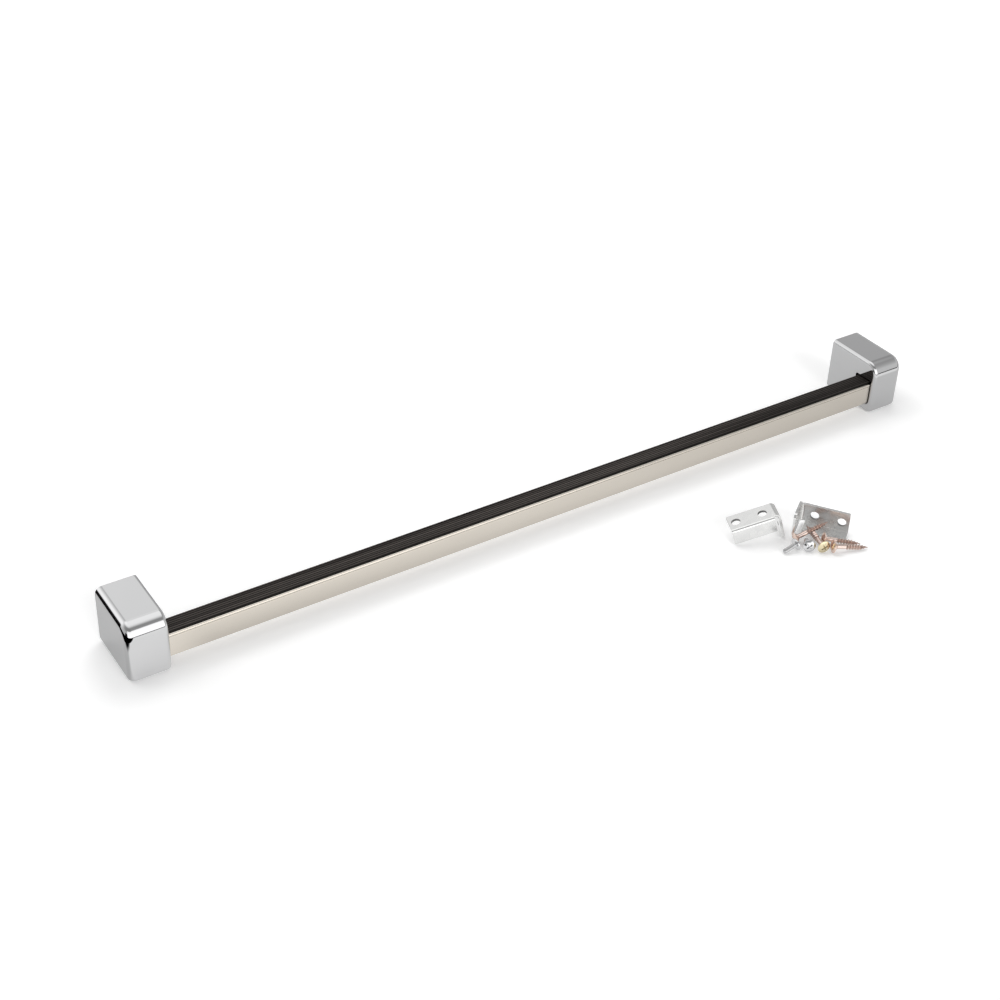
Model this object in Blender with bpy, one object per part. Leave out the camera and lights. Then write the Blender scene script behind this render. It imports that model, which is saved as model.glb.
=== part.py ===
"""Wall-mounted tie rail: a hollow rail with a ribbed grip strip, two end blocks and the fixing kit.

The rail runs along X. Its blocks stand on the ground plane, and their open backs face the wall at +Y.
The fixing kit (two folded brackets, four wood screws and two machine screws) lies loose in front.
"""
import math

import bmesh
import bpy
from mathutils import Matrix, Vector
from mathutils.bvhtree import BVHTree

# Overall
RACK_LENGTH = 0.500
FIT_GAP = 0.0003

# End blocks
BLOCK_WIDTH = 0.022
BLOCK_DEPTH = 0.038
BLOCK_HEIGHT = 0.033
BLOCK_WALL = 0.002
FRONT_TOP_RADIUS = 0.008
OUTER_TOP_RADIUS = 0.004
INNER_TOP_RADIUS = 0.0022
OUTER_FRONT_RADIUS = 0.0038
INNER_FRONT_RADIUS = 0.0024
FOOT_RADIUS = 0.003
CAVITY_CORNER_RADIUS = 0.0015
VAULT_WALL = 0.0026
SOCKET_DEPTH = 0.018
SOCKET_CLEARANCE = 0.0005
SOCKET_HEADROOM = 0.001
SOCKET_TOP_RADIUS = 0.0015

# Rail
RAIL_WIDTH = 0.0124
RAIL_HEIGHT = 0.0144
RAIL_INSET = 0.0028
RAIL_LIFT = 0.0053
RAIL_WALL = 0.001
RAIL_BOTTOM_RADIUS = 0.0024
CHAMBER_CORNER_RADIUS = 0.0008
LIP_REACH = 0.0016
LIP_THICKNESS = 0.001
LIP_EDGE_RADIUS = 0.0005
BEAD_HEIGHT = 0.0014
BEAD_GROOVE = 0.0003

# Grip strip
STRIP_COVER = 0.0004
STRIP_BODY = 0.0005
STRIP_FOOT = 0.0012
RIB_COUNT = 7
RIB_HEIGHT = 0.0005

# Wall brackets
BRACKET_WIDTH = 0.0132
BRACKET_CLEARANCE = 0.001
SIDE_FLANGE_DEPTH = 0.0095
END_FLANGE_DEPTH = 0.018
SHEET = 0.0015
BEND_RADIUS = 0.0018
CORNER_RELIEF = 0.0006
PLATE_CORNER_RADIUS = 0.0008
END_CORNER_RADIUS = 0.0025
END_FLANGE_EAR = 0.0027
WALL_HOLE_DIAMETER = 0.005
WALL_HOLE_FIRST = 0.0042
WALL_HOLE_PITCH = 0.015
WALL_HOLE_SIDE = 0.0062
CLAMP_INSET = 0.0105
CLAMP_HOLE_CLEARANCE = 0.0002
THREAD_DEPTH = 0.0003

# Wood screws
WOOD_LENGTH = 0.021
WOOD_HEAD_RADIUS = 0.0037
WOOD_HEAD_DOME = 0.0009
WOOD_HEAD_RIM = 0.0003
WOOD_HEAD_CONE = 0.0018
WOOD_SHANK_RADIUS = 0.00135
WOOD_SHANK_LENGTH = 0.005
WOOD_THREAD_RADIUS = 0.0017
WOOD_TAPER = 0.0055

# Machine screws
MACHINE_LENGTH = 0.008
MACHINE_THREAD_RADIUS = 0.0015
MACHINE_HEAD_RADIUS = 0.0036
MACHINE_HEAD_HEIGHT = 0.0021
MACHINE_HEAD_EDGE = 0.0008
MACHINE_END_CHAMFER = 0.0005

# Where the loose kit lies: x from the rack's middle, y from the blocks' front, heading in degrees from +X
UPRIGHT_BRACKET = (0.1323, -0.0844, 125.3)
TILTED_BRACKET = (0.0739, -0.0482, -23.5)
WOOD_ON_BRACKET = (0.1084, -0.0906, 75.5)
WOOD_FRONT = (0.1130, -0.0926, -22.5)
WOOD_MIDDLE = (0.1134, -0.0844, -34.0)
WOOD_LEANING = (0.1003, -0.0762, -13.0)
MACHINE_FACING = (0.1026, -0.0851, 58.0)
MACHINE_SIDEWAYS = (0.0967, -0.0808, 178.5)
BACK_OFF_STEP = 0.0005

# Facets
ARC_STEPS = 5
SCREW_SIDES = 20
HOLE_SIDES = 32

# Worked out from the sizes above
HALF_LENGTH = RACK_LENGTH / 2
INNER_FACE = HALF_LENGTH - BLOCK_WIDTH
RAIL_HALF = INNER_FACE + SOCKET_DEPTH - SOCKET_CLEARANCE
RAIL_FRONT = RAIL_INSET
RAIL_BACK = RAIL_INSET + RAIL_WIDTH
RAIL_MIDDLE = RAIL_INSET + RAIL_WIDTH / 2
RAIL_TOP = RAIL_LIFT + RAIL_HEIGHT
STRIP_TOP = RAIL_TOP + FIT_GAP + STRIP_BODY + RIB_HEIGHT
SOCKET_TOP = STRIP_TOP + SOCKET_HEADROOM
CAVITY_FRONT = RAIL_BACK + SOCKET_CLEARANCE + BLOCK_WALL
VAULT_FLOOR = SOCKET_TOP + BLOCK_WALL
BRACKET_LENGTH = BLOCK_HEIGHT - 2 * BLOCK_WALL - BRACKET_CLEARANCE
CLAMP_Y = BLOCK_DEPTH - CLAMP_INSET
CUT_PAST = 0.002


def clear_scene():
    """Remove whatever the file opens with."""
    for old in list(bpy.data.objects):
        bpy.data.objects.remove(old, do_unlink=True)


def finish(name, color, roughness, metallic):
    """One Principled surface."""
    material = bpy.data.materials.new(name)
    material.use_nodes = True
    shader = material.node_tree.nodes["Principled BSDF"]
    shader.inputs["Base Color"].default_value = (*color, 1.0)
    shader.inputs["Roughness"].default_value = roughness
    shader.inputs["Metallic"].default_value = metallic
    return material


def chrome(node):
    return finish(node + "_chrome", (0.78, 0.79, 0.80), 0.06, 1.0)


def nickel(node):
    return finish(node + "_nickel", (0.74, 0.71, 0.66), 0.14, 1.0)


def rubber(node):
    return finish(node + "_rubber", (0.018, 0.016, 0.015), 0.55, 0.0)


def zinc(node):
    return finish(node + "_zinc", (0.70, 0.71, 0.72), 0.22, 1.0)


def copper(node):
    return finish(node + "_copper", (0.72, 0.47, 0.34), 0.28, 1.0)


def steel(node):
    return finish(node + "_steel", (0.68, 0.68, 0.69), 0.25, 1.0)


def add_object(name, bm, material, parent=None):
    """Turn a bmesh into a named object, with round faces smooth and corners sharp."""
    mesh = bpy.data.meshes.new(name)
    bm.to_mesh(mesh)
    bm.free()
    mesh.shade_smooth()
    mesh.set_sharp_from_angle(angle=math.radians(40))
    piece = bpy.data.objects.new(name, mesh)
    bpy.context.collection.objects.link(piece)
    if material:
        mesh.materials.append(material)
    piece.parent = parent
    return piece


def cut(piece, name, bm):
    """Take a solid away from a piece; both share the piece's own axes."""
    cutter = add_object(name, bm, None, piece)
    cutter.hide_render = True
    cutter.display_type = "WIRE"
    modifier = piece.modifiers.new(name, "BOOLEAN")
    modifier.operation = "DIFFERENCE"
    modifier.object = cutter


def rounded(corners):
    """Closed outline through corners (p, q, radius), each radius a tangent arc."""
    points = []
    for i, (p, q, radius) in enumerate(corners):
        here = Vector((p, q))
        if radius == 0.0:
            points.append(here)
            continue
        before = (Vector(corners[i - 1][:2]) - here).normalized()
        after = (Vector(corners[(i + 1) % len(corners)][:2]) - here).normalized()
        half = before.angle(after) / 2
        centre = here + (before + after).normalized() * (radius / math.sin(half))
        first = here + before * (radius / math.tan(half)) - centre
        last = here + after * (radius / math.tan(half)) - centre
        for k in range(ARC_STEPS + 1):
            turn = first.lerp(last, 0.5 - 0.5 * math.cos(math.pi * k / ARC_STEPS))
            points.append(centre + turn.normalized() * radius)
    return points


def prism(outline, place, low, high):
    """Solid of an outline drawn out from low to high; place(p, q, s) gives each point's x, y, z."""
    bm = bmesh.new()
    base = bm.faces.new([bm.verts.new(place(p, q, low)) for p, q in outline])
    shift = Vector(place(0.0, 0.0, high)) - Vector(place(0.0, 0.0, low))
    grown = bmesh.ops.extrude_face_region(bm, geom=[base])
    moved = [item for item in grown["geom"] if isinstance(item, bmesh.types.BMVert)]
    bmesh.ops.translate(bm, verts=moved, vec=shift)
    bmesh.ops.recalc_face_normals(bm, faces=bm.faces)
    return bm


def along_x(p, q, s):
    return (s, p, q)


def along_y(p, q, s):
    return (p, s, q)


def along_z(p, q, s):
    return (p, q, s)


def circle(p, q, radius):
    """Outline of a round hole."""
    turns = [2 * math.pi * k / HOLE_SIDES for k in range(HOLE_SIDES)]
    return [Vector((p + radius * math.cos(t), q + radius * math.sin(t))) for t in turns]


def shift_outline(outline, dp, dq):
    """The same outline moved by (dp, dq)."""
    return [point + Vector((dp, dq)) for point in outline]


def rail_outline():
    """Rail section: rounded foot, plain sides, a beaded lip each side and an undercut channel on top."""
    lip_under = RAIL_TOP - LIP_THICKNESS
    channel_floor = lip_under - 2 * FIT_GAP - STRIP_FOOT
    bead_under = RAIL_TOP - BEAD_HEIGHT
    front = [
        (RAIL_FRONT, RAIL_LIFT, RAIL_BOTTOM_RADIUS),
        (RAIL_FRONT, bead_under - BEAD_GROOVE, 0.0),
        (RAIL_FRONT + BEAD_GROOVE, bead_under - BEAD_GROOVE / 2, 0.0),
        (RAIL_FRONT, bead_under, 0.0),
        (RAIL_FRONT, RAIL_TOP, LIP_EDGE_RADIUS),
        (RAIL_FRONT + LIP_REACH, RAIL_TOP, 0.0),
        (RAIL_FRONT + LIP_REACH, lip_under, 0.0),
        (RAIL_FRONT + RAIL_WALL, lip_under, 0.0),
        (RAIL_FRONT + RAIL_WALL, channel_floor, 0.0),
    ]
    back = [(2 * RAIL_MIDDLE - y, z, radius) for y, z, radius in reversed(front)]
    return rounded(front + back), channel_floor


def build_rail(parent):
    """Hollow rail: the section drawn along X, with a closed chamber under the channel's floor."""
    outline, channel_floor = rail_outline()
    outline = shift_outline(outline, -RAIL_MIDDLE, -RAIL_LIFT)
    section = prism(outline, along_x, -RAIL_HALF, RAIL_HALF)
    rail = add_object("rail_profile", section, nickel("rail_profile"), parent)
    rail.location = (0.0, RAIL_MIDDLE, RAIL_LIFT)
    side = RAIL_WIDTH / 2 - RAIL_WALL
    top = channel_floor - RAIL_LIFT - RAIL_WALL
    foot_radius = RAIL_BOTTOM_RADIUS - RAIL_WALL
    chamber = rounded([
        (-side, RAIL_WALL, foot_radius),
        (-side, top, CHAMBER_CORNER_RADIUS),
        (side, top, CHAMBER_CORNER_RADIUS),
        (side, RAIL_WALL, foot_radius),
    ])
    cut(rail, "rail_chamber", prism(chamber, along_x, -RAIL_HALF - CUT_PAST, RAIL_HALF + CUT_PAST))


def rib_points(half):
    """Crests and valleys of the ribs from +half to -half, with the outer flanks square."""
    pitch = 2 * half / RIB_COUNT
    points = []
    for k in range(RIB_COUNT):
        start = half - k * pitch
        points.append((start - pitch * 0.05, RIB_HEIGHT * 0.45))
        points.append((start - pitch * 0.25, RIB_HEIGHT))
        points.append((start - pitch * 0.60, RIB_HEIGHT))
        points.append((start - pitch * 0.80, RIB_HEIGHT * 0.45))
        points.append((start - pitch * 0.90, 0.0))
    return points


def build_strip(parent):
    """Ribbed strip: a head that laps the lips, a neck between them and a foot held under them."""
    head = RAIL_WIDTH / 2 - LIP_REACH + STRIP_COVER
    neck = RAIL_WIDTH / 2 - LIP_REACH - FIT_GAP
    foot = RAIL_WIDTH / 2 - RAIL_WALL - FIT_GAP
    head_under = FIT_GAP
    ribs_base = head_under + STRIP_BODY
    foot_top = -LIP_THICKNESS - FIT_GAP
    foot_under = foot_top - STRIP_FOOT
    ribs = [Vector((y, ribs_base + z)) for y, z in rib_points(head)]
    left = [(-head, ribs_base), (-head, head_under), (-neck, head_under), (-neck, foot_top),
            (-foot, foot_top), (-foot, foot_under)]
    right = [(-y, z) for y, z in reversed(left)]
    outline = [Vector(point) for point in left] + [Vector(point) for point in right] + ribs
    section = prism(outline, along_x, -RAIL_HALF, RAIL_HALF)
    strip = add_object("grip_strip", section, rubber("grip_strip"), parent)
    strip.location = (0.0, RAIL_MIDDLE, RAIL_TOP)


def block_body(side):
    """Solid block on its joint axis; each edge carries the share of the widest radius that rounds it."""
    origin = Vector((side * INNER_FACE, RAIL_MIDDLE, RAIL_LIFT))
    size = Matrix.Diagonal((BLOCK_WIDTH, BLOCK_DEPTH, BLOCK_HEIGHT, 1.0))
    middle = Vector((side * (HALF_LENGTH - BLOCK_WIDTH / 2), BLOCK_DEPTH / 2, BLOCK_HEIGHT / 2)) - origin
    bm = bmesh.new()
    bmesh.ops.create_cube(bm, size=1.0, matrix=Matrix.Translation(middle) @ size)
    weight = bm.edges.layers.float.new("bevel_weight_edge")
    for edge in bm.edges:
        spot = (edge.verts[0].co + edge.verts[1].co) / 2 - middle
        outward = side * spot.x / BLOCK_WIDTH
        forward = -spot.y / BLOCK_DEPTH
        upward = spot.z / BLOCK_HEIGHT
        edge[weight] = edge_radius(outward, forward, upward) / FRONT_TOP_RADIUS
    return bm, origin


def edge_radius(outward, forward, upward):
    """Radius of the edge whose middle lies that way from the block's centre; the back rim stays sharp."""
    near = 0.4
    if forward < -near:
        return 0.0
    if upward < -near:
        return FOOT_RADIUS
    if upward > near and forward > near:
        return FRONT_TOP_RADIUS
    if upward > near:
        return OUTER_TOP_RADIUS if outward > near else INNER_TOP_RADIUS
    return OUTER_FRONT_RADIUS if outward > near else INNER_FRONT_RADIUS


def build_block(name, side, parent):
    """Die-cast shell: rounded skin, rail socket, bracket cavity open to the wall and clamp screw hole."""
    bm, origin = block_body(side)
    block = add_object(name, bm, chrome(name), parent)
    block.location = origin
    bevel = block.modifiers.new("rounding", "BEVEL")
    bevel.limit_method = "WEIGHT"
    bevel.width = FRONT_TOP_RADIUS
    bevel.segments = ARC_STEPS
    block.data.set_sharp_from_angle(angle=math.radians(95))

    near = side * BLOCK_WALL
    far = side * (BLOCK_WIDTH - BLOCK_WALL)
    low_x, high_x = sorted((near, far))
    cavity = rounded([
        (low_x, BLOCK_WALL - origin.z, CAVITY_CORNER_RADIUS),
        (high_x, BLOCK_WALL - origin.z, CAVITY_CORNER_RADIUS),
        (high_x, BLOCK_HEIGHT - BLOCK_WALL - origin.z, CAVITY_CORNER_RADIUS),
        (low_x, BLOCK_HEIGHT - BLOCK_WALL - origin.z, CAVITY_CORNER_RADIUS),
    ])
    back = BLOCK_DEPTH - origin.y
    cut(block, name + "_cavity", prism(cavity, along_y, CAVITY_FRONT - origin.y, back + CUT_PAST))

    vault_front = VAULT_WALL - origin.y
    vault_back = CAVITY_FRONT - origin.y + CUT_PAST
    vault_top = BLOCK_HEIGHT - VAULT_WALL - origin.z
    vault_floor = VAULT_FLOOR - origin.z
    # The vault's upper fillet follows the skin's, as far as the vault is tall enough for both its fillets
    vault_radius = min(FRONT_TOP_RADIUS - VAULT_WALL, vault_top - vault_floor - CHAMBER_CORNER_RADIUS)
    vault = rounded([
        (vault_front, vault_floor, CHAMBER_CORNER_RADIUS),
        (vault_front, vault_top, vault_radius),
        (vault_back, vault_top, 0.0),
        (vault_back, vault_floor, 0.0),
    ])
    inset = OUTER_TOP_RADIUS - BLOCK_WALL
    cut(block, name + "_vault", prism(vault, along_x, low_x + inset, high_x - inset))

    half = RAIL_WIDTH / 2 + SOCKET_CLEARANCE
    socket_radius = RAIL_BOTTOM_RADIUS + SOCKET_CLEARANCE
    socket = rounded([
        (-half, -SOCKET_CLEARANCE, socket_radius),
        (-half, SOCKET_TOP - origin.z, SOCKET_TOP_RADIUS),
        (half, SOCKET_TOP - origin.z, SOCKET_TOP_RADIUS),
        (half, -SOCKET_CLEARANCE, socket_radius),
    ])
    mouth, end = sorted((-side * CUT_PAST, side * SOCKET_DEPTH))
    cut(block, name + "_socket", prism(socket, along_x, mouth, end))

    clamp_radius = MACHINE_THREAD_RADIUS + CLAMP_HOLE_CLEARANCE
    clamp = circle(side * BLOCK_WIDTH / 2, CLAMP_Y - origin.y, clamp_radius)
    floor = -origin.z
    cut(block, name + "_clamp_hole", prism(clamp, along_z, floor - CUT_PAST, floor + BLOCK_WALL + CUT_PAST))


def fold_flange(bm, edge, outward, down, depth, radius, ear):
    """Bend a flange from an edge of the plate and run it down to its depth, with rounded free corners.

    Past the bend, an ear widens the flange on the side where the edge starts.
    """
    start, end = edge
    row = [start, end]
    for k in range(1, ARC_STEPS + 1):
        turn = math.pi / 2 * k / ARC_STEPS
        move = outward * (BEND_RADIUS * math.sin(turn)) + down * (BEND_RADIUS * (1 - math.cos(turn)))
        bent = [bm.verts.new(vert.co + move) for vert in (start, end)]
        bm.faces.new((row[0], row[1], bent[1], bent[0]))
        row = bent
    width = (row[1].co - row[0].co).length
    across = (row[1].co - row[0].co).normalized()
    run = depth - BEND_RADIUS
    corners = [(0.0, 0.0, 0.0), (width, 0.0, 0.0), (width, run, radius), (-ear, run, radius)]
    if ear:
        corners.append((-ear, 0.0, min(radius, ear)))
    free = [bm.verts.new(row[0].co + across * p + down * q) for p, q in rounded(corners)[2:]]
    bm.faces.new([row[0], row[1]] + free)


def bracket_skin():
    """Outer skin: a plate in XY, long on X, a side flange at +Y and an end flange at +X, both to +Z."""
    bm = bmesh.new()
    end_line = BRACKET_LENGTH - BEND_RADIUS
    side_line = BRACKET_WIDTH - BEND_RADIUS
    side_stop = end_line - CORNER_RELIEF
    end_stop = side_line - CORNER_RELIEF
    plate = rounded([
        (0.0, 0.0, PLATE_CORNER_RADIUS),
        (end_line, 0.0, 0.0),
        (end_line, end_stop, 0.0),
        (side_stop, end_stop, 0.0),
        (side_stop, side_line, 0.0),
        (0.0, side_line, 0.0),
    ])
    verts = [bm.verts.new((u, a, 0.0)) for u, a in plate]
    bm.faces.new(verts)
    arc = ARC_STEPS + 1
    end_edge = (verts[arc], verts[arc + 1])
    side_edge = (verts[arc + 3], verts[arc + 4])
    down = Vector((0, 0, 1))
    fold_flange(bm, end_edge, Vector((1, 0, 0)), down, END_FLANGE_DEPTH, END_CORNER_RADIUS, END_FLANGE_EAR)
    fold_flange(bm, side_edge, Vector((0, 1, 0)), down, SIDE_FLANGE_DEPTH, PLATE_CORNER_RADIUS, 0.0)
    bmesh.ops.recalc_face_normals(bm, faces=bm.faces)
    bm.faces.ensure_lookup_table()
    if bm.faces[0].normal.z > 0:
        bmesh.ops.reverse_faces(bm, faces=bm.faces)
    return bm


def build_bracket(name, parent):
    """Folded sheet bracket with two wall holes in its plate and a tapped hole in its end flange."""
    bracket = add_object(name, bracket_skin(), zinc(name), parent)
    sheet = bracket.modifiers.new("sheet", "SOLIDIFY")
    sheet.thickness = SHEET
    sheet.offset = -1.0
    sheet.use_even_offset = True
    for k in range(2):
        hole = circle(WALL_HOLE_FIRST + k * WALL_HOLE_PITCH, WALL_HOLE_SIDE, WALL_HOLE_DIAMETER / 2)
        cut(bracket, f"{name}_wall_hole_{k + 1}", prism(hole, along_z, -CUT_PAST, SHEET + CUT_PAST))
    tapped = circle((BRACKET_WIDTH - BEND_RADIUS) / 2, CLAMP_INSET, MACHINE_THREAD_RADIUS - THREAD_DEPTH)
    inside, outside = BRACKET_LENGTH - SHEET - CUT_PAST, BRACKET_LENGTH + CUT_PAST
    cut(bracket, name + "_clamp_hole", prism(tapped, along_x, inside, outside))
    return bracket


def turned(profile):
    """Solid of revolution about Z from (radius, z) points that start and end on the axis."""
    bm = bmesh.new()
    verts = [bm.verts.new((radius, 0.0, z)) for radius, z in profile]
    edges = [bm.edges.new(pair) for pair in zip(verts, verts[1:])]
    bmesh.ops.spin(bm, geom=verts + edges, cent=(0, 0, 0), axis=(0, 0, 1), angle=2 * math.pi,
                   steps=SCREW_SIDES, use_merge=True)
    bmesh.ops.remove_doubles(bm, verts=bm.verts, dist=1e-6)
    bmesh.ops.recalc_face_normals(bm, faces=bm.faces)
    return bm


def dome(radius, height, top, steps):
    """Profile points of a shallow dome, from the axis out to its rim."""
    sphere = (radius ** 2 + height ** 2) / (2 * height)
    spread = math.asin(radius / sphere)
    turns = [spread * k / steps for k in range(steps + 1)]
    return [(sphere * math.sin(t), top - sphere * (1 - math.cos(t))) for t in turns]


def build_wood_screw(name, parent):
    """Raised countersunk wood screw with its head's rim at z = 0 and its point at z = -WOOD_LENGTH."""
    shank_end = -WOOD_HEAD_CONE - WOOD_SHANK_LENGTH
    profile = dome(WOOD_HEAD_RADIUS, WOOD_HEAD_DOME, WOOD_HEAD_DOME, 4)
    profile += [
        (WOOD_HEAD_RADIUS, -WOOD_HEAD_RIM),
        (WOOD_SHANK_RADIUS, -WOOD_HEAD_CONE),
        (WOOD_SHANK_RADIUS, shank_end),
        (WOOD_THREAD_RADIUS, shank_end - (WOOD_THREAD_RADIUS - WOOD_SHANK_RADIUS)),
        (WOOD_THREAD_RADIUS, WOOD_TAPER - WOOD_LENGTH),
        (0.0, -WOOD_LENGTH),
    ]
    return add_object(name, turned(profile), copper(name), parent)


def build_machine_screw(name, parent):
    """Pan-head machine screw with the underside of its head at z = 0."""
    profile = dome(MACHINE_HEAD_RADIUS, MACHINE_HEAD_HEIGHT - MACHINE_HEAD_EDGE, MACHINE_HEAD_HEIGHT, 4)
    profile += [
        (MACHINE_HEAD_RADIUS, 0.0),
        (MACHINE_THREAD_RADIUS, 0.0),
        (MACHINE_THREAD_RADIUS, MACHINE_END_CHAMFER - MACHINE_LENGTH),
        (MACHINE_THREAD_RADIUS - MACHINE_END_CHAMFER, -MACHINE_LENGTH),
        (0.0, -MACHINE_LENGTH),
    ]
    return add_object(name, turned(profile), steel(name), parent)


def world_tree(piece):
    """Search tree of a piece's evaluated surface in world space."""
    bpy.context.view_layer.update()
    bm = bmesh.new()
    bm.from_object(piece, bpy.context.evaluated_depsgraph_get())
    bm.transform(piece.matrix_world)
    tree = BVHTree.FromBMesh(bm)
    bm.free()
    return tree


def world_points(piece):
    """Corners of a piece's evaluated surface in world space."""
    bpy.context.view_layer.update()
    shape = piece.evaluated_get(bpy.context.evaluated_depsgraph_get()).to_mesh()
    return [piece.matrix_world @ vert.co for vert in shape.vertices]


def set_down(piece, floor):
    """Lower or lift a piece until its lowest point is on the floor height."""
    piece.location.z += floor - min(point.z for point in world_points(piece))


def lay_clear(piece, laid, away):
    """Step a loose piece along a ground direction until it crosses none of the pieces laid before it."""
    trees = [world_tree(other) for other in laid]
    while any(world_tree(piece).overlap(tree) for tree in trees):
        piece.location += away * BACK_OFF_STEP
    laid.append(piece)


def ground_direction(heading):
    """Unit vector on the ground at a heading from +X, in degrees."""
    turn = math.radians(heading)
    return Vector((math.cos(turn), math.sin(turn), 0.0))


def crossing_distance(over, under):
    """How far along one spot's heading its line crosses the line of another spot, on the ground."""
    apart = Vector((under[0] - over[0], under[1] - over[1]))
    ahead = ground_direction(over[2]).to_2d()
    beside = ground_direction(under[2] + 90.0).to_2d()
    return apart.dot(beside) / ahead.dot(beside)


def lay_screw(screw, spot, pitch, laid, point_first):
    """Lay a screw with its head over a spot, pointing along its heading and down by the pitch angle.

    Where it would cross a piece laid before it, it moves off along its heading, point first or head first.
    """
    x, y, heading = spot
    level = ground_direction(heading)
    point = level * math.cos(pitch) - Vector((0, 0, 1)) * math.sin(pitch)
    screw.rotation_euler = Vector((0, 0, -1)).rotation_difference(point).to_euler()
    screw.location = (x, y, 0.0)
    set_down(screw, 0.0)
    lay_clear(screw, laid, level if point_first else -level)


def bracket_turn(u, a):
    """Rotation whose X, Y and Z axes are the bracket's length, its width and their normal."""
    b = u.cross(a)
    return Matrix((u, a, b)).transposed().to_euler()


def place_brackets(parent, laid):
    """Lay one bracket on its side flange and tilt the other on its flange edges."""
    up = Vector((0, 0, 1))
    x, y, heading = UPRIGHT_BRACKET
    upright = build_bracket("wall_bracket_2", parent)
    upright.rotation_euler = bracket_turn(ground_direction(heading), -up)
    upright.location = (x, y, BRACKET_WIDTH)
    set_down(upright, 0.0)
    laid.append(upright)

    x, y, heading = TILTED_BRACKET
    level = ground_direction(heading)
    rise = math.atan2(END_FLANGE_DEPTH - SIDE_FLANGE_DEPTH, BRACKET_LENGTH)
    tilted = build_bracket("wall_bracket_1", parent)
    along = level * math.cos(rise) + up * math.sin(rise)
    tilted.rotation_euler = bracket_turn(along, ground_direction(heading - 90.0))
    tilted.location = (x, y, SIDE_FLANGE_DEPTH)
    set_down(tilted, 0.0)
    lay_clear(tilted, laid, -level)


def place_screws(parent, laid):
    """Lay the four wood screws and two machine screws in a loose heap beside the upright bracket."""
    span = WOOD_LENGTH - WOOD_TAPER
    drop = WOOD_HEAD_RADIUS - WOOD_THREAD_RADIUS
    flat = math.atan2(drop, span)
    on_sheet = math.atan2(drop - SHEET - FIT_GAP, span)
    lay_screw(build_wood_screw("wood_screw_4", parent), WOOD_ON_BRACKET, on_sheet, laid, False)
    lay_screw(build_wood_screw("wood_screw_3", parent), WOOD_MIDDLE, flat, laid, True)
    lay_screw(build_wood_screw("wood_screw_2", parent), WOOD_FRONT, flat, laid, True)
    climb = 2 * WOOD_THREAD_RADIUS + FIT_GAP
    lean = -math.asin(climb / crossing_distance(WOOD_LEANING, WOOD_ON_BRACKET))
    lay_screw(build_wood_screw("wood_screw_1", parent), WOOD_LEANING, lean, laid, False)
    short = math.atan2(MACHINE_HEAD_RADIUS - MACHINE_THREAD_RADIUS, MACHINE_LENGTH)
    lay_screw(build_machine_screw("machine_screw_2", parent), MACHINE_FACING, short, laid, False)
    lay_screw(build_machine_screw("machine_screw_1", parent), MACHINE_SIDEWAYS, short, laid, True)


def centre_on_ground(root):
    """Move the whole set so that its box stands centred on the origin."""
    solids = [piece for piece in bpy.data.objects if piece.type == "MESH" and not piece.hide_render]
    points = [point for piece in solids for point in world_points(piece)]
    middle_x = (min(point.x for point in points) + max(point.x for point in points)) / 2
    middle_y = (min(point.y for point in points) + max(point.y for point in points)) / 2
    root.location = (-middle_x, -middle_y, -min(point.z for point in points))
    bpy.context.view_layer.update()


def main():
    clear_scene()
    root = bpy.data.objects.new("tie_rack", None)
    bpy.context.collection.objects.link(root)
    build_rail(root)
    build_strip(root)
    build_block("left_end_block", -1, root)
    build_block("right_end_block", 1, root)
    laid = []
    place_brackets(root, laid)
    place_screws(root, laid)
    centre_on_ground(root)


main()
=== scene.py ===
# %% [markdown]
# # A chromed tie rack and its fixing kit
#
# The rack is a hollow nickel-plated rail with a ribbed rubber strip let into its top, held between two
# die-cast end blocks. Two folded brackets, four wood screws and two machine screws lie loose in front.
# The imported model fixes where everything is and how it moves. Its solids are plain and faceted, which is
# right for physics and wrong for chrome, so each one is stood in for by a smoother piece in the same place.

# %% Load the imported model
import math

import bmesh
import bpy
import numpy as np
from mathutils import Matrix, Vector, geometry


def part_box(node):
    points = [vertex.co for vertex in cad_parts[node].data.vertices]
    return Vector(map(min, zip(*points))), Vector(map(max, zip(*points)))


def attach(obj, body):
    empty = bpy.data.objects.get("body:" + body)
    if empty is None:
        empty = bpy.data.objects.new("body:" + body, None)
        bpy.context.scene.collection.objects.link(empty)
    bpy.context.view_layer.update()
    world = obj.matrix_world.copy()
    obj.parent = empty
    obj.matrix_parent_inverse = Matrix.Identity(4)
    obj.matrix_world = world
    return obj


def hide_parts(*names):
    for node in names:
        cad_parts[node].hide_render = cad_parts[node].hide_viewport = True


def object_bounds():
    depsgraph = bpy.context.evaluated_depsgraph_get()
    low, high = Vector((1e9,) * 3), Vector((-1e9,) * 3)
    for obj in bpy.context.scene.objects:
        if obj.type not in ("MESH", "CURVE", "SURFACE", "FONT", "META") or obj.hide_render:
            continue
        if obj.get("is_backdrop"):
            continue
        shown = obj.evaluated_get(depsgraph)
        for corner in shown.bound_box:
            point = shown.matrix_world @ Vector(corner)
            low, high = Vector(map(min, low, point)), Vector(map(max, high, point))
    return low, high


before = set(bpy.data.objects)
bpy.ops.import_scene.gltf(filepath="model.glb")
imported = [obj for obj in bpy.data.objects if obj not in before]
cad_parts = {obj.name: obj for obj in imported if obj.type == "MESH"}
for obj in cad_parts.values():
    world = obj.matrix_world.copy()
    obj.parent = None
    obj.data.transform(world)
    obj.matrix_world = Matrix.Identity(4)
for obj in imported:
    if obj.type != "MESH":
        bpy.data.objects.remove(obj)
cad_low, cad_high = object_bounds()
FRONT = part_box("left_end_block")[0].y
print("solids:", ", ".join(sorted(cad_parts)))
print(f"blocks' front face at y = {FRONT * 1000:.3f} mm")

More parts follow.
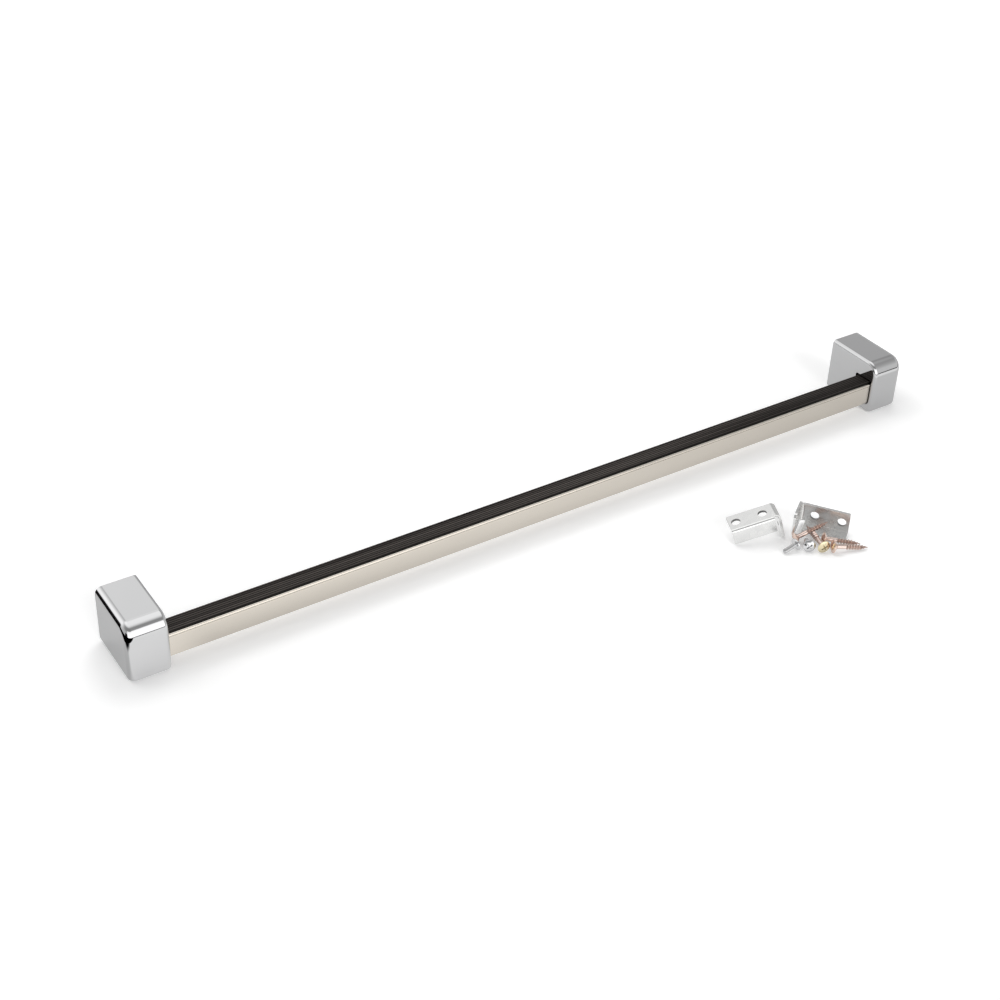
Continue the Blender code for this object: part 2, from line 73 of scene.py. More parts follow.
# %% [markdown]
# ## Camera
#
# The rack is seen from above its left end. Blender could aim a camera with a constraint, but a measured
# camera is clearer: three angles give its axes, and the frame is moved down a tenth of its width because
# the picture's optical centre lies above its middle.

# %% Camera
LENS_PIXELS = 1688.04
PICTURE_PIXELS = 1000.0
SENSOR = 36.0
FRAME_SHIFT = -0.1
CAMERA_PLACE = (-0.448595, -0.563585, 0.547507)
CAMERA_ANGLES = (-34.204, 32.125, 2.234)


def photo_camera(place, azimuth, elevation, roll):
    """Camera whose back axis points at the azimuth and elevation, turned about that axis by the roll."""
    az, el, tilt = np.radians((azimuth, elevation, roll))
    back = np.array((np.sin(az) * np.cos(el), -np.cos(az) * np.cos(el), np.sin(el)))
    level = np.array((np.cos(az), np.sin(az), 0.0))
    rise = np.cross(back, level)
    right = np.cos(tilt) * level + np.sin(tilt) * rise
    up = np.cos(tilt) * rise - np.sin(tilt) * level
    lens = bpy.data.cameras.new("photo_camera")
    lens.sensor_width = SENSOR
    lens.lens = SENSOR * LENS_PIXELS / PICTURE_PIXELS
    lens.shift_y = FRAME_SHIFT
    camera = bpy.data.objects.new("photo_camera", lens)
    bpy.context.collection.objects.link(camera)
    camera.matrix_world = Matrix(np.column_stack((right, up, back))).to_4x4()
    camera.location = place
    return camera


bpy.context.scene.camera = photo_camera(CAMERA_PLACE, *CAMERA_ANGLES)
bpy.context.scene.view_settings.view_transform = "Standard"
print(f"camera lens {bpy.context.scene.camera.data.lens:.2f} mm")

# %% [markdown]
# ## Shader sums in Python
#
# A finish is a sum of small variations: haze, drawn lines, rubbed edges. Wiring Math nodes by hand hides the
# sum, so a socket is wrapped in a class whose operators add the nodes. Then `0.05 + 0.1 * haze` is a shader.

# %% Wire: a socket that can be added and multiplied
X_AXIS = (1.0, 0.0, 0.0)
Y_AXIS = (0.0, 1.0, 0.0)
Z_AXIS = (0.0, 0.0, 1.0)


class Wire:
    """One socket of a node tree. Operators add Math nodes, and node() adds any other kind of node."""

    def __init__(self, tree, socket=None):
        self.tree = tree
        self.socket = socket

    def node(self, kind, settings, sockets, take=0):
        """Add a node: its settings first, then its sockets' values or links; give back one output."""
        made = self.tree.nodes.new(kind)
        for key, value in settings.items():
            setattr(made, key, value)
        for key, value in sockets.items():
            if isinstance(value, Wire):
                self.tree.links.new(value.socket, made.inputs[key])
            else:
                made.inputs[key].default_value = value
        return Wire(self.tree, made.outputs[take] if len(made.outputs) else None)

    def math(self, operation, first, second=0.0):
        """Math node on one or two values."""
        return self.node("ShaderNodeMath", {"operation": operation}, {0: first, 1: second})

    def __add__(self, other):
        return self.math("ADD", self, other)

    def __radd__(self, other):
        return self.math("ADD", other, self)

    def __sub__(self, other):
        return self.math("SUBTRACT", self, other)

    def __rsub__(self, other):
        return self.math("SUBTRACT", other, self)

    def __mul__(self, other):
        return self.math("MULTIPLY", self, other)

    def __rmul__(self, other):
        return self.math("MULTIPLY", other, self)

    def __pow__(self, other):
        return self.math("POWER", self, other)

    def ease(self, low, high):
        """0 below low, 1 above high, and a smooth step between."""
        settings = {"interpolation_type": "SMOOTHSTEP"}
        return self.node("ShaderNodeMapRange", settings, {"Value": self, "From Min": low, "From Max": high})

    def window(self, low, rise, fall, high):
        """1 from rise to fall, easing to 0 at low and at high."""
        return self.ease(low, rise) * (1.0 - self.ease(fall, high))

    def tint(self, low, high):
        """Colour that goes from low to high as this value goes from 0 to 1; each is a colour or a wire."""
        ends = [end if isinstance(end, Wire) else (*end, 1.0) for end in (low, high)]
        return self.node("ShaderNodeMix", {"data_type": "RGBA"}, {0: self, 6: ends[0], 7: ends[1]}, 2)

    def noise(self, scale, detail=3.0):
        """Noise from 0 to 1 over this vector."""
        return self.node("ShaderNodeTexNoise", {}, {"Vector": self, "Scale": scale, "Detail": detail})

    def stretched(self, scale):
        """This vector scaled along each axis, so that a pattern on it is drawn out."""
        return self.node("ShaderNodeMapping", {}, {"Vector": self, "Scale": scale})

    def length(self):
        """Length of this vector."""
        return self.node("ShaderNodeVectorMath", {"operation": "LENGTH"}, {0: self}, "Value")

    def along(self, direction):
        """How far this vector goes in a direction."""
        settings = {"operation": "DOT_PRODUCT"}
        return self.node("ShaderNodeVectorMath", settings, {0: self, 1: direction}, "Value")

    def here(self):
        """Point being shaded, as a vector in metres from its object's origin."""
        return self.node("ShaderNodeTexCoord", {}, {}, "Object")

    def ray(self, fact):
        """One fact about the ray that asks, such as whether it comes from the camera."""
        return self.node("ShaderNodeLightPath", {}, {}, fact)

    def mirror(self):
        """1 for a ray that metal sends out, before it meets anything matt, and 0 for every other."""
        return self.ray("Is Glossy Ray") * (1.0 - self.ray("Diffuse Depth").ease(0.0, 1.0))


def direction(azimuth, elevation):
    """Unit vector at an azimuth from +Y towards +X and an elevation above the floor, in degrees."""
    az, el = np.radians((azimuth, elevation))
    return (math.sin(az) * math.cos(el), math.cos(az) * math.cos(el), math.sin(el))


print("wires ready")

# %% [markdown]
# ## Studio
#
# Chrome has no look of its own: it shows the room. The room here is a white table in a grey studio, with a
# broad glow and a panel behind the rack, a bright patch of ceiling, a wide softbox behind the camera, a faint
# light to one side, and a dark band where the table ends. A sky worked out from its direction draws them
# sharply in the metal. A softbox over the rack and broad suns, three behind and one in front, add the
# shadows. These lamps are left out of the reflections, where they would show twice.

# %% Studio sky
DEGREE = math.pi / 180.0
WHITE = (1.0, 1.0, 1.0, 1.0)


def sector(turn, *degrees):
    """Window over an angle, with its four limits in degrees."""
    return turn.window(*[limit * DEGREE for limit in degrees])


def disc(look, azimuth, elevation, outer, inner):
    """1 within the inner angle of a direction, easing to 0 at the outer one, in degrees."""
    return look.along(direction(azimuth, elevation)).ease(math.cos(outer * DEGREE), math.cos(inner * DEGREE))


def studio_sky():
    """Sky brightness over direction: a base that dims with height, plus one term for each bright panel, cut
    off below the dark band's upper edge. Metal sees it in full. The rest gets 0.4 of it, since the lamps add
    to that, and the camera sees plain white."""
    world = bpy.data.worlds.new("studio_sky")
    world.use_nodes = True
    world.node_tree.nodes.clear()
    start = Wire(world.node_tree)
    look = start.node("ShaderNodeTexCoord", {}, {}, "Generated")
    across = look.along(X_AXIS)
    depth = look.along(Y_AXIS)
    height = look.along(Z_AXIS)
    behind = start.math("ARCTAN2", across, depth)
    ahead = start.math("ARCTAN2", 0.0 - across, 0.0 - depth)
    base = 0.31 + 0.28 * (1.0 - height.ease(0.35, 0.75))
    back = start.math("EXPONENT", (look.along(direction(-33.0, 36.0)) - 1.0) * 9.0)
    panel = disc(look, 23.0, 38.0, 14.0, 3.0)
    ceiling = disc(look, 36.0, 77.0, 39.0, 10.0)
    front = sector(ahead, -38.0, -30.0, 45.0, 60.0) * (1.0 - height.ease(0.65, 0.71))
    side = look.along(direction(128.0, 25.0)).ease(0.7, 0.97)
    above = base + 0.85 * back + 0.47 * panel + 0.86 * ceiling + front + 0.12 * side
    # The dark band reaches higher behind the rack, and highest at the front left.
    raised = 0.25 * sector(behind, -52.0, -46.0, 20.0, 60.0) + 0.35 * sector(ahead, 50.0, 56.0, 76.0, 84.0)
    room = above * (0.02 + 0.98 * (height - raised).ease(-0.02, 0.01))
    seen = start.ray("Is Camera Ray")
    strength = seen + (1.0 - seen) * room * (0.4 + 0.6 * start.mirror())
    shade = start.node("ShaderNodeBackground", {}, {"Color": WHITE, "Strength": strength})
    start.node("ShaderNodeOutputWorld", {}, {"Surface": shade})
    bpy.context.scene.world = world


studio_sky()
print("sky:", bpy.context.scene.world.name)

# %% Lamps
SUNS = {
    "back_left_lamp": {"azimuth": -40.0, "elevation": 47.0, "spread": 30.0, "share": 0.10},
    "back_right_lamp": {"azimuth": 40.0, "elevation": 47.0, "spread": 30.0, "share": 0.10},
    "low_back_lamp": {"azimuth": 0.0, "elevation": 24.0, "spread": 25.0, "share": 0.06},
    "front_lamp": {"azimuth": 180.0, "elevation": 30.0, "spread": 30.0, "share": 0.15},
}


def hang(name, lamp, reach):
    """Put a lamp in the scene, shining against a vector, and leave it out of the reflections."""
    light = bpy.data.objects.new(name, lamp)
    bpy.context.collection.objects.link(light)
    light.rotation_mode = "QUATERNION"
    light.rotation_quaternion = reach.to_track_quat("Z", "Y")
    light.visible_glossy = False
    return light


def soft_sun(name, azimuth, elevation, spread, share):
    """Broad sun from a direction. Its strength is pi * share / sin(elevation), which gives the table that
    share of white."""
    lamp = bpy.data.lights.new(name, "SUN")
    lamp.energy = math.pi * share / math.sin(elevation * DEGREE)
    lamp.angle = spread * DEGREE
    hang(name, lamp, Vector(direction(azimuth, elevation)))


def softbox(name, place, size, share):
    """Square lamp that faces the middle of the table top. Power pi squared * share * distance squared /
    cos(tilt) gives the table there that share of white."""
    reach = Vector(place)
    lamp = bpy.data.lights.new(name, "AREA")
    lamp.size = size
    lamp.energy = math.pi ** 2 * share * reach.length ** 3 / reach.z
    hang(name, lamp, reach).location = place


for name, settings in SUNS.items():
    soft_sun(name, **settings)
softbox("softbox", place=(0.0, 0.14, 0.42), size=0.3, share=0.27)
print("lamps:", len(bpy.data.lights))

# %% Table
MIRRORED_HALF = (0.52, 0.33)
HEAP_SHADOW_SPOT = (0.115, -0.047)


def mirrored_white_and_shade(place):
    """How white the table is in metal, from 0 to 1. It ends at an oval round the rack, less one corner.
    Painted shade dims it towards the right end, and painted shadows dim it beside the left block, close in
    front of the rail's left part and round the heap of screws."""
    across = place.along(X_AXIS)
    inward = place.along(Y_AXIS)
    right_end = across.ease(-0.2, 0.25) * inward.ease(-0.03, 0.0)
    left_end = (0.0 - across).ease(0.246, 0.2505) * place.along((-0.316, 0.949, 0.0)).ease(0.104, 0.112)
    rail_shadow = across.window(-0.225, -0.2, -0.2, 0.1) * inward.ease(0.005, 0.027)
    to_heap = place.node("ShaderNodeMapping", {}, {"Vector": place, "Location": (-HEAP_SHADOW_SPOT[0], -HEAP_SHADOW_SPOT[1], 0.0)})
    heap_shadow = 1.0 - to_heap.length().ease(0.006, 0.024)
    # Painted shade towards the right end, and painted shadows of the left block, the rail and the screws,
    # seen only in the metal.
    painted_shade = 0.29 * right_end + 0.37 * left_end + 0.21 * rail_shadow + 0.45 * heap_shadow
    squeezed = place.stretched((1.0 / MIRRORED_HALF[0], 1.0 / MIRRORED_HALF[1], 0.0))
    oval = 1.0 - squeezed.length().ease(0.97, 1.03)
    corner = 1.0 - place.along((-0.95, -0.317, 0.0)).ease(0.2485, 0.2545)
    return oval * corner * (1.0 - painted_shade)


def white_paper():
    """Matt white that glows a little, and more away from its middle, where less of the lamps' light comes, so
    that the camera sees it white all over. Metal sees the mirrored white instead, with its painted shade and
    shadows, partly as glow and partly as paint that the lamps light."""
    paper = bpy.data.materials.new("white_paper")
    paper.use_nodes = True
    paper.node_tree.nodes.clear()
    start = Wire(paper.node_tree)
    place = start.here()
    mirror = start.mirror()
    mirrored = mirror * mirrored_white_and_shade(place)
    seen = start.ray("Is Camera Ray") + start.ray("Is Transmission Ray")
    strength = (0.29 + 0.2 * place.length().ease(0.2, 0.7)) * seen + 0.56 * mirrored
    glow = start.node("ShaderNodeEmission", {}, {"Color": WHITE, "Strength": strength})
    matt = start.node("ShaderNodeBsdfDiffuse", {}, {"Color": 0.9 - 0.9 * mirror + 0.52 * mirrored})
    both = start.node("ShaderNodeAddShader", {}, {0: matt, 1: glow})
    start.node("ShaderNodeOutputMaterial", {}, {"Surface": both})
    return paper


def white_table(radius, sides=96):
    """Round table top: points of a circle, made one face."""
    turn = np.linspace(0.0, 2.0 * np.pi, sides, endpoint=False)
    ring = np.column_stack((np.cos(turn), np.sin(turn), np.zeros_like(turn))) * radius
    top = bpy.data.meshes.new("table")
    top.from_pydata(ring.tolist(), [], [list(range(sides))])
    top.materials.append(white_paper())
    table = bpy.data.objects.new("table", top)
    bpy.context.collection.objects.link(table)
    table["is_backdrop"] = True


white_table(radius=1.6)
print("studio: one sky, five lamps, one table")

# %% [markdown]
# ## Shapes from outlines
#
# Rail, strip and every hollow of the blocks are one outline carried along a straight line, as an extrusion
# press or a cutter makes them. Curves with a bevel could do it too, but an outline in an array keeps the
# arcs, the ribs and the walls exact.

# %% Outlines and the solids they sweep


def unit(vectors):
    """Vectors divided by their own length."""
    return vectors / np.linalg.norm(vectors, axis=-1, keepdims=True)


def rounded(corners, steps=10):
    """Closed outline through corners (p, q, radius). Each corner becomes an arc that touches both its sides.
    Its centre is on the bisector, radius / sin(half angle) away, and the arc turns evenly between the two."""
    corners = np.asarray(corners, float)
    here = corners[:, :2]
    radius = np.maximum(corners[:, 2:], 1e-9)
    before = unit(np.roll(here, 1, axis=0) - here)
    after = unit(np.roll(here, -1, axis=0) - here)
    half = np.arccos(np.sum(before * after, axis=1, keepdims=True)) / 2.0
    centre = here + unit(before + after) * radius / np.sin(half)
    first = here + before * radius / np.tan(half) - centre
    last = here + after * radius / np.tan(half) - centre
    sweep = (np.pi - 2.0 * half)[:, None, :]
    share = np.linspace(0.0, 1.0, steps + 1)[None, :, None]
    arc = np.sin((1.0 - share) * sweep) * first[:, None, :] + np.sin(share * sweep) * last[:, None, :]
    points = (centre[:, None, :] + arc / np.sin(sweep)).reshape(-1, 2)
    moved = np.linalg.norm(points - np.roll(points, 1, axis=0), axis=1) > 1e-7
    return points[moved]


def circle(p, q, radius, sides=48):
    """Outline of a round hole: centre plus radius times (cos, sin)."""
    turn = np.linspace(0.0, 2.0 * np.pi, sides, endpoint=False)
    return np.column_stack((p + radius * np.cos(turn), q + radius * np.sin(turn)))


def make_piece(name, points, faces):
    """Object at the origin from an array of points and lists of faces, with doubles merged and every face
    turned outward."""
    mesh = bpy.data.meshes.new(name)
    mesh.from_pydata(np.asarray(points).tolist(), [], faces)
    shell = bmesh.new()
    shell.from_mesh(mesh)
    bmesh.ops.remove_doubles(shell, verts=shell.verts, dist=1e-7)
    bmesh.ops.recalc_face_normals(shell, faces=shell.faces)
    shell.to_mesh(mesh)
    shell.free()
    piece = bpy.data.objects.new(name, mesh)
    bpy.context.collection.objects.link(piece)
    return piece


def ring_quads(rings, stride, first, size):
    """Faces between neighbouring rings of points, as lists of four. Each ring starts a stride after the one
    before, and only the points from first to first + size are joined."""
    here = first + np.arange(size)
    there = first + np.roll(np.arange(size), -1)
    rows = stride * np.arange(rings - 1)[:, None]
    quads = np.stack((rows + here, rows + there, rows + stride + there, rows + stride + here), axis=-1)
    return quads.reshape(-1, 4).tolist()


def carried(name, loops, axis, stops):
    """Solid of an outline, with holes, carried along an axis: a wall for each loop and a cap at each end.
    The other two axes, in the order x, y, z, hold the outline's p and q."""
    outline = np.vstack(loops)
    count = len(outline)
    stops = np.asarray(stops, float)
    points = np.empty((len(stops), count, 3))
    sides = [k for k in range(3) if k != axis]
    points[:, :, sides[0]] = outline[:, 0]
    points[:, :, sides[1]] = outline[:, 1]
    points[:, :, axis] = stops[:, None]
    faces = []
    base = 0
    for loop in loops:
        faces += ring_quads(len(stops), count, base, len(loop))
        base += len(loop)
    flat_loops = [np.column_stack((loop, np.zeros(len(loop)))).tolist() for loop in loops]
    cap = np.array(geometry.tessellate_polygon(flat_loops))
    faces += cap.tolist() + (cap[:, ::-1] + count * (len(stops) - 1)).tolist()
    return make_piece(name, points.reshape(-1, 3), faces)


def smooth(piece, angle):
    """Shade round, with edges sharper than the angle kept and flat faces kept flat."""
    piece.data.shade_smooth()
    piece.data.set_sharp_from_angle(angle=math.radians(angle))
    weigh = piece.modifiers.new("flat_faces", "WEIGHTED_NORMAL")
    weigh.keep_sharp = True


def settle(piece):
    """Put the result of a piece's modifiers into its mesh."""
    bpy.context.view_layer.update()
    shaped = piece.evaluated_get(bpy.context.evaluated_depsgraph_get())
    mesh = bpy.data.meshes.new_from_object(shaped)
    mesh.name = piece.name
    piece.modifiers.clear()
    piece.data = mesh


def cut_with(piece, cutters, finishes):
    """Take the cutters away from a piece and delete them. The piece has the first of two finishes, and the
    walls that its cutters leave in it have the second."""
    for solid in [piece] + cutters:
        for finish in finishes:
            solid.data.materials.append(finish)
    for cutter in cutters:
        cutter.data.polygons.foreach_set("material_index", np.ones(len(cutter.data.polygons), np.int32))
        knife = piece.modifiers.new("cut", "BOOLEAN")
        knife.operation = "DIFFERENCE"
        knife.solver = "EXACT"
        knife.object = cutter
    settle(piece)
    for cutter in cutters:
        bpy.data.objects.remove(cutter)


def mark_points(piece, name, values):
    """Store one value for each point of a piece, for its finish to read."""
    layer = piece.data.attributes.new(name, "FLOAT", "POINT")
    layer.data.foreach_set("value", np.clip(values, 0.0, 1.0).astype(np.float32))


def points_of(mesh):
    """Coordinates of a mesh's points, one row each."""
    flat = np.empty(len(mesh.vertices) * 3)
    mesh.vertices.foreach_get("co", flat)
    return flat.reshape(-1, 3)


def hand_over(piece, node, body):
    """Let a dressed piece ride on its body and stand for its solid."""
    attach(piece, body)
    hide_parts(node)
    low, high = np.array(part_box(node))
    points = points_of(piece.data)
    outside = max(np.max(low - points.min(axis=0)), np.max(points.max(axis=0) - high)) * 1000.0
    print(f"{piece.name}: {len(piece.data.polygons)} faces, {outside:.3f} mm outside its solid's box")


print("outline tools ready")

# %% [markdown]
# ## Plated finishes
#
# Plating is never one grey. Polished metal is hazy where it was handled, drawn metal has lines along its
# length, and rubbed edges have a tone of their own. Those differences are small sums on colour and roughness,
# with a very shallow bump. Shade is painted into the rail's groove, the rubber's grooves, the screws' thread
# roots and the brackets' hole walls; elsewhere no light or shade is painted in, so the finishes hold under
# other light.

# %% A start for every finish


def new_finish(name, constants):
    """Empty Principled finish: gives back the material, its shader node and a wire to start from."""
    finish = bpy.data.materials.new(name)
    finish.use_nodes = True
    shader = finish.node_tree.nodes["Principled BSDF"]
    for key, value in constants.items():
        shader.inputs[key].default_value = value
    return finish, shader, Wire(finish.node_tree)


def plug(shader, start, **wires):
    """Link wires into the shader's sockets; underscores stand for the spaces in a socket's name."""
    for key, wire in wires.items():
        start.tree.links.new(wire.socket, shader.inputs[key.replace("_", " ")])


def relief(start, height, depth):
    """Bump whose height goes from 0 to depth, in metres, as the value goes from 0 to 1."""
    return start.node("ShaderNodeBump", {}, {"Strength": 1.0, "Distance": depth, "Height": height})


def worn(start, name):
    """Value of a piece's own attribute, such as how rubbed each point is."""
    return start.node("ShaderNodeAttribute", {"attribute_name": name}, {}, "Fac")


print("finish tools ready")

# %% Chrome, bare metal and nickel


def bright_chrome():
    """Chrome plate: reflectance near 0.66 and slightly cool, with roughness from haze, from hairlines along X
    and from rubbing on its roundings."""
    finish, shader, start = new_finish("bright_chrome", {"Metallic": 1.0})
    place = start.here()
    haze = place.noise(70.0, 4.0)
    hairlines = place.stretched((60.0, 900.0, 900.0)).noise(1.0, 2.0)
    wear_and_thread_shade = worn(start, "wear_and_thread_shade")
    roughness = 0.035 + 0.04 * haze ** 2.0 + 0.02 * hairlines.ease(0.55, 0.8) + 0.03 * wear_and_thread_shade * haze
    plug(shader, start, Base_Color=place.noise(22.0).tint((0.642, 0.643, 0.648), (0.682, 0.683, 0.688)))
    plug(shader, start, Roughness=roughness, Normal=relief(start, place.noise(420.0, 2.0), 2.0e-6))
    return finish


def bare_metal(name, dark, light):
    """Metal as it was cast or punched, with no polish: grey, matt and grainy, with a few darker marks."""
    finish, shader, start = new_finish(name, {"Metallic": 1.0})
    place = start.here()
    flow = place.noise(140.0, 5.0)
    grain = place.noise(2600.0, 3.0)
    plug(shader, start, Base_Color=flow.tint(dark, light))
    plug(shader, start, Roughness=0.42 + 0.2 * grain, Normal=relief(start, grain, 6.0e-5))
    return finish


def drawn_nickel():
    """Nickel on the rail: warm and polished, with faint lines along X left by drawing and painted shade in
    the groove.
    """
    finish, shader, start = new_finish("drawn_nickel", {"Metallic": 1.0})
    place = start.here()
    lines = place.stretched((7.0, 1500.0, 1500.0)).noise(1.0, 2.0)
    clouds = place.stretched((1.0, 3.0, 3.0)).noise(18.0, 3.0)
    roughness = 0.085 + 0.05 * lines + 0.03 * clouds.ease(0.45, 0.75)
    metal = clouds.tint((0.725, 0.673, 0.60), (0.775, 0.723, 0.647))
    # The groove under each bead is coloured darker: painted shade.
    plug(shader, start, Base_Color=worn(start, "groove_shade").tint(metal, (0.42, 0.39, 0.35)))
    plug(shader, start, Roughness=roughness, Normal=relief(start, lines, 1.2e-6))
    return finish


chrome = bright_chrome()
casting = bare_metal("raw_casting", (0.27, 0.27, 0.275), (0.42, 0.42, 0.425))
# The brackets' hole walls get this dark grey: partly bare sheared steel, partly painted shade in the holes.
punched_and_shaded = bare_metal("punched_steel_shaded", (0.17, 0.17, 0.17), (0.30, 0.30, 0.295))
nickel = drawn_nickel()
print("finishes:", chrome.name, casting.name, punched_and_shaded.name, nickel.name)

# %% Rubber, zinc, copper, brass tone and steel


def black_rubber():
    """Rubber of the grip strip: brownish black and finely grained, rougher in the grooves and darkened there
    by painted shade. Its ribs have a pale bloom in streaks, less of it towards the right end."""
    finish, shader, start = new_finish("black_rubber", {"Specular IOR Level": 0.18})
    place = start.here()
    groove_shade = worn(start, "groove_shade")
    right_fade = 0.7 * place.along(X_AXIS).ease(0.05, 0.25)
    bloom = place.stretched((5.0, 420.0, 420.0)).noise(1.0, 2.0).ease(0.3, 0.7) * (1.0 - right_fade)
    grain = place.noise(3000.0, 2.0)
    crest = bloom.tint((0.018, 0.0145, 0.013), (0.095, 0.084, 0.077))
    # The grooves are coloured near black: painted shade.
    plug(shader, start, Base_Color=groove_shade.ease(0.05, 0.6).tint(crest, (0.004, 0.0035, 0.003)))
    plug(shader, start, Roughness=0.4 + 0.16 * grain + 0.2 * groove_shade, Normal=relief(start, grain, 1.2e-5))
    return finish


def bright_zinc():
    """Zinc plate on the brackets: satin, with a faint crystal pattern and brighter rubbed edges."""
    finish, shader, start = new_finish("bright_zinc", {"Metallic": 1.0})
    place = start.here()
    crystals = place.node("ShaderNodeTexVoronoi", {}, {"Vector": place, "Scale": 420.0}, "Color")
    spangle = crystals.along((0.33, 0.33, 0.34))
    grain = place.noise(1800.0, 3.0)
    wear_and_thread_shade = worn(start, "wear_and_thread_shade")
    tone = 0.7 * spangle + 0.3 * grain + 0.3 * wear_and_thread_shade
    plug(shader, start, Base_Color=tone.tint((0.74, 0.74, 0.735), (0.86, 0.86, 0.85)))
    plug(shader, start, Roughness=0.17 + 0.09 * spangle + 0.06 * grain - 0.05 * wear_and_thread_shade)
    plug(shader, start, Normal=relief(start, grain, 3.0e-6))
    return finish


def screw_plate(name, root_shade, crest, cap, rough):
    """Plated screw metal: painted shade darkens the thread's root, the crest has the plate's own colour, and
    the die leaves fine grain. The head has a colour of its own."""
    finish, shader, start = new_finish(name, {"Metallic": 1.0})
    place = start.here()
    grain = place.noise(1500.0, 3.0)
    wear_and_thread_shade = worn(start, "wear_and_thread_shade")
    metal = (0.75 * wear_and_thread_shade + 0.25 * grain).tint(root_shade, crest)
    plug(shader, start, Base_Color=worn(start, "head").tint(metal, cap))
    plug(shader, start, Roughness=rough + 0.1 * grain - 0.06 * wear_and_thread_shade, Normal=relief(start, grain, 4.0e-6))
    return finish


rubber = black_rubber()
zinc = bright_zinc()
# The root colours are painted shade in the thread's root; the crest colours are the plating.
COPPER_ROOT_SHADE = (0.34, 0.225, 0.185)
COPPER_CREST = (0.98, 0.82, 0.75)
copper = screw_plate("copper_plate", COPPER_ROOT_SHADE, COPPER_CREST, (0.88, 0.70, 0.61), 0.2)
brassy = screw_plate("yellow_plate", COPPER_ROOT_SHADE, COPPER_CREST, (0.80, 0.70, 0.48), 0.2)
steel = screw_plate("steel_plate", (0.42, 0.42, 0.425), (0.74, 0.74, 0.74), (0.72, 0.72, 0.725), 0.17)
print("finishes:", rubber.name, zinc.name, copper.name, brassy.name, steel.name)

# %% [markdown]
# ## Rail
#
# The rail is an extrusion: rounded foot, plain sides, a closed chamber below and an undercut channel above,
# whose two lips hold the strip. A bead and a fine groove run along each side under the lip; they make the
# bright line beside the rubber. One outline with a hole, carried along X, gives all of it.

# %% Rail
RAIL_HALF = 0.2455
RAIL_STOPS = np.linspace(-RAIL_HALF, RAIL_HALF, 25)
RAIL_SETBACK = 0.0028
RAIL_FRONT = FRONT + RAIL_SETBACK
RAIL_WIDTH = 0.0124
RAIL_HEIGHT = 0.0144
RAIL_MIDDLE = RAIL_FRONT + RAIL_WIDTH / 2.0
RAIL_LIFT = 0.0053
RAIL_TOP = RAIL_LIFT + RAIL_HEIGHT
RAIL_WALL = 0.001
FIT_GAP = 0.0003
LIP_REACH = 0.0016
GROOVE = 0.0003
BEAD = 0.0012
LIP_THICKNESS = 0.001
STRIP_FOOT = 0.0012


def mirrored(front):
    """Front half of a section, then the same corners reflected to the back in reverse order."""
    front = np.asarray(front, float)
    back = front[::-1] * (-1.0, 1.0, 1.0) + (2.0 * RAIL_MIDDLE, 0.0, 0.0)
    return np.vstack((front, back))


def rail_section():
    """Outer outline of the rail in y and z, and the outline of its chamber."""
    bead = RAIL_TOP - BEAD
    under = RAIL_TOP - LIP_THICKNESS
    floor = under - 2.0 * FIT_GAP - STRIP_FOOT
    outer = mirrored([
        (RAIL_FRONT, RAIL_LIFT, 0.0024),
        (RAIL_FRONT, bead - GROOVE, 0.0001),
        (RAIL_FRONT + GROOVE, bead - GROOVE / 2.0, 0.00005),
        (RAIL_FRONT, bead, 0.0002),
        (RAIL_FRONT, RAIL_TOP, 0.001),
        (RAIL_FRONT + LIP_REACH, RAIL_TOP, 0.0001),
        (RAIL_FRONT + LIP_REACH, under, 0.0001),
        (RAIL_FRONT + RAIL_WALL, under, 0.0001),
        (RAIL_FRONT + RAIL_WALL, floor, 0.0002),
    ])
    chamber = mirrored([
        (RAIL_FRONT + RAIL_WALL, RAIL_LIFT + RAIL_WALL, 0.0014),
        (RAIL_FRONT + RAIL_WALL, floor - RAIL_WALL, 0.0008),
    ])
    return [rounded(outer), rounded(chamber)[::-1]]


rail = carried("rail", rail_section(), 0, RAIL_STOPS)
# The groove's depth is stored so that the nickel finish paints shade into it.
aside = np.abs(points_of(rail.data)[:, 1:] - (RAIL_MIDDLE, RAIL_TOP - BEAD - GROOVE / 2.0))
sunk = (RAIL_WIDTH / 2.0 - aside[:, 0]) / GROOVE * (aside[:, 1] < GROOVE)
mark_points(rail, "groove_shade", sunk)
smooth(rail, 40)
rail.data.materials.append(nickel)
hand_over(rail, "rail_profile", "rack")

# %% [markdown]
# ## Grip strip
#
# The strip is soft black rubber with seven rounded ribs, so that ties don't slide. Its head laps the lips,
# its neck passes between them and its foot sits in the channel. Ribs could be a texture, but their edges
# catch the light along the whole length, so they are in the outline.

# %% Grip strip
RIBS = 7
RIB_STEPS = 16
RIB_HEIGHT = 0.0005
STRIP_BODY = 0.0005
HEAD_LAP = 0.0004


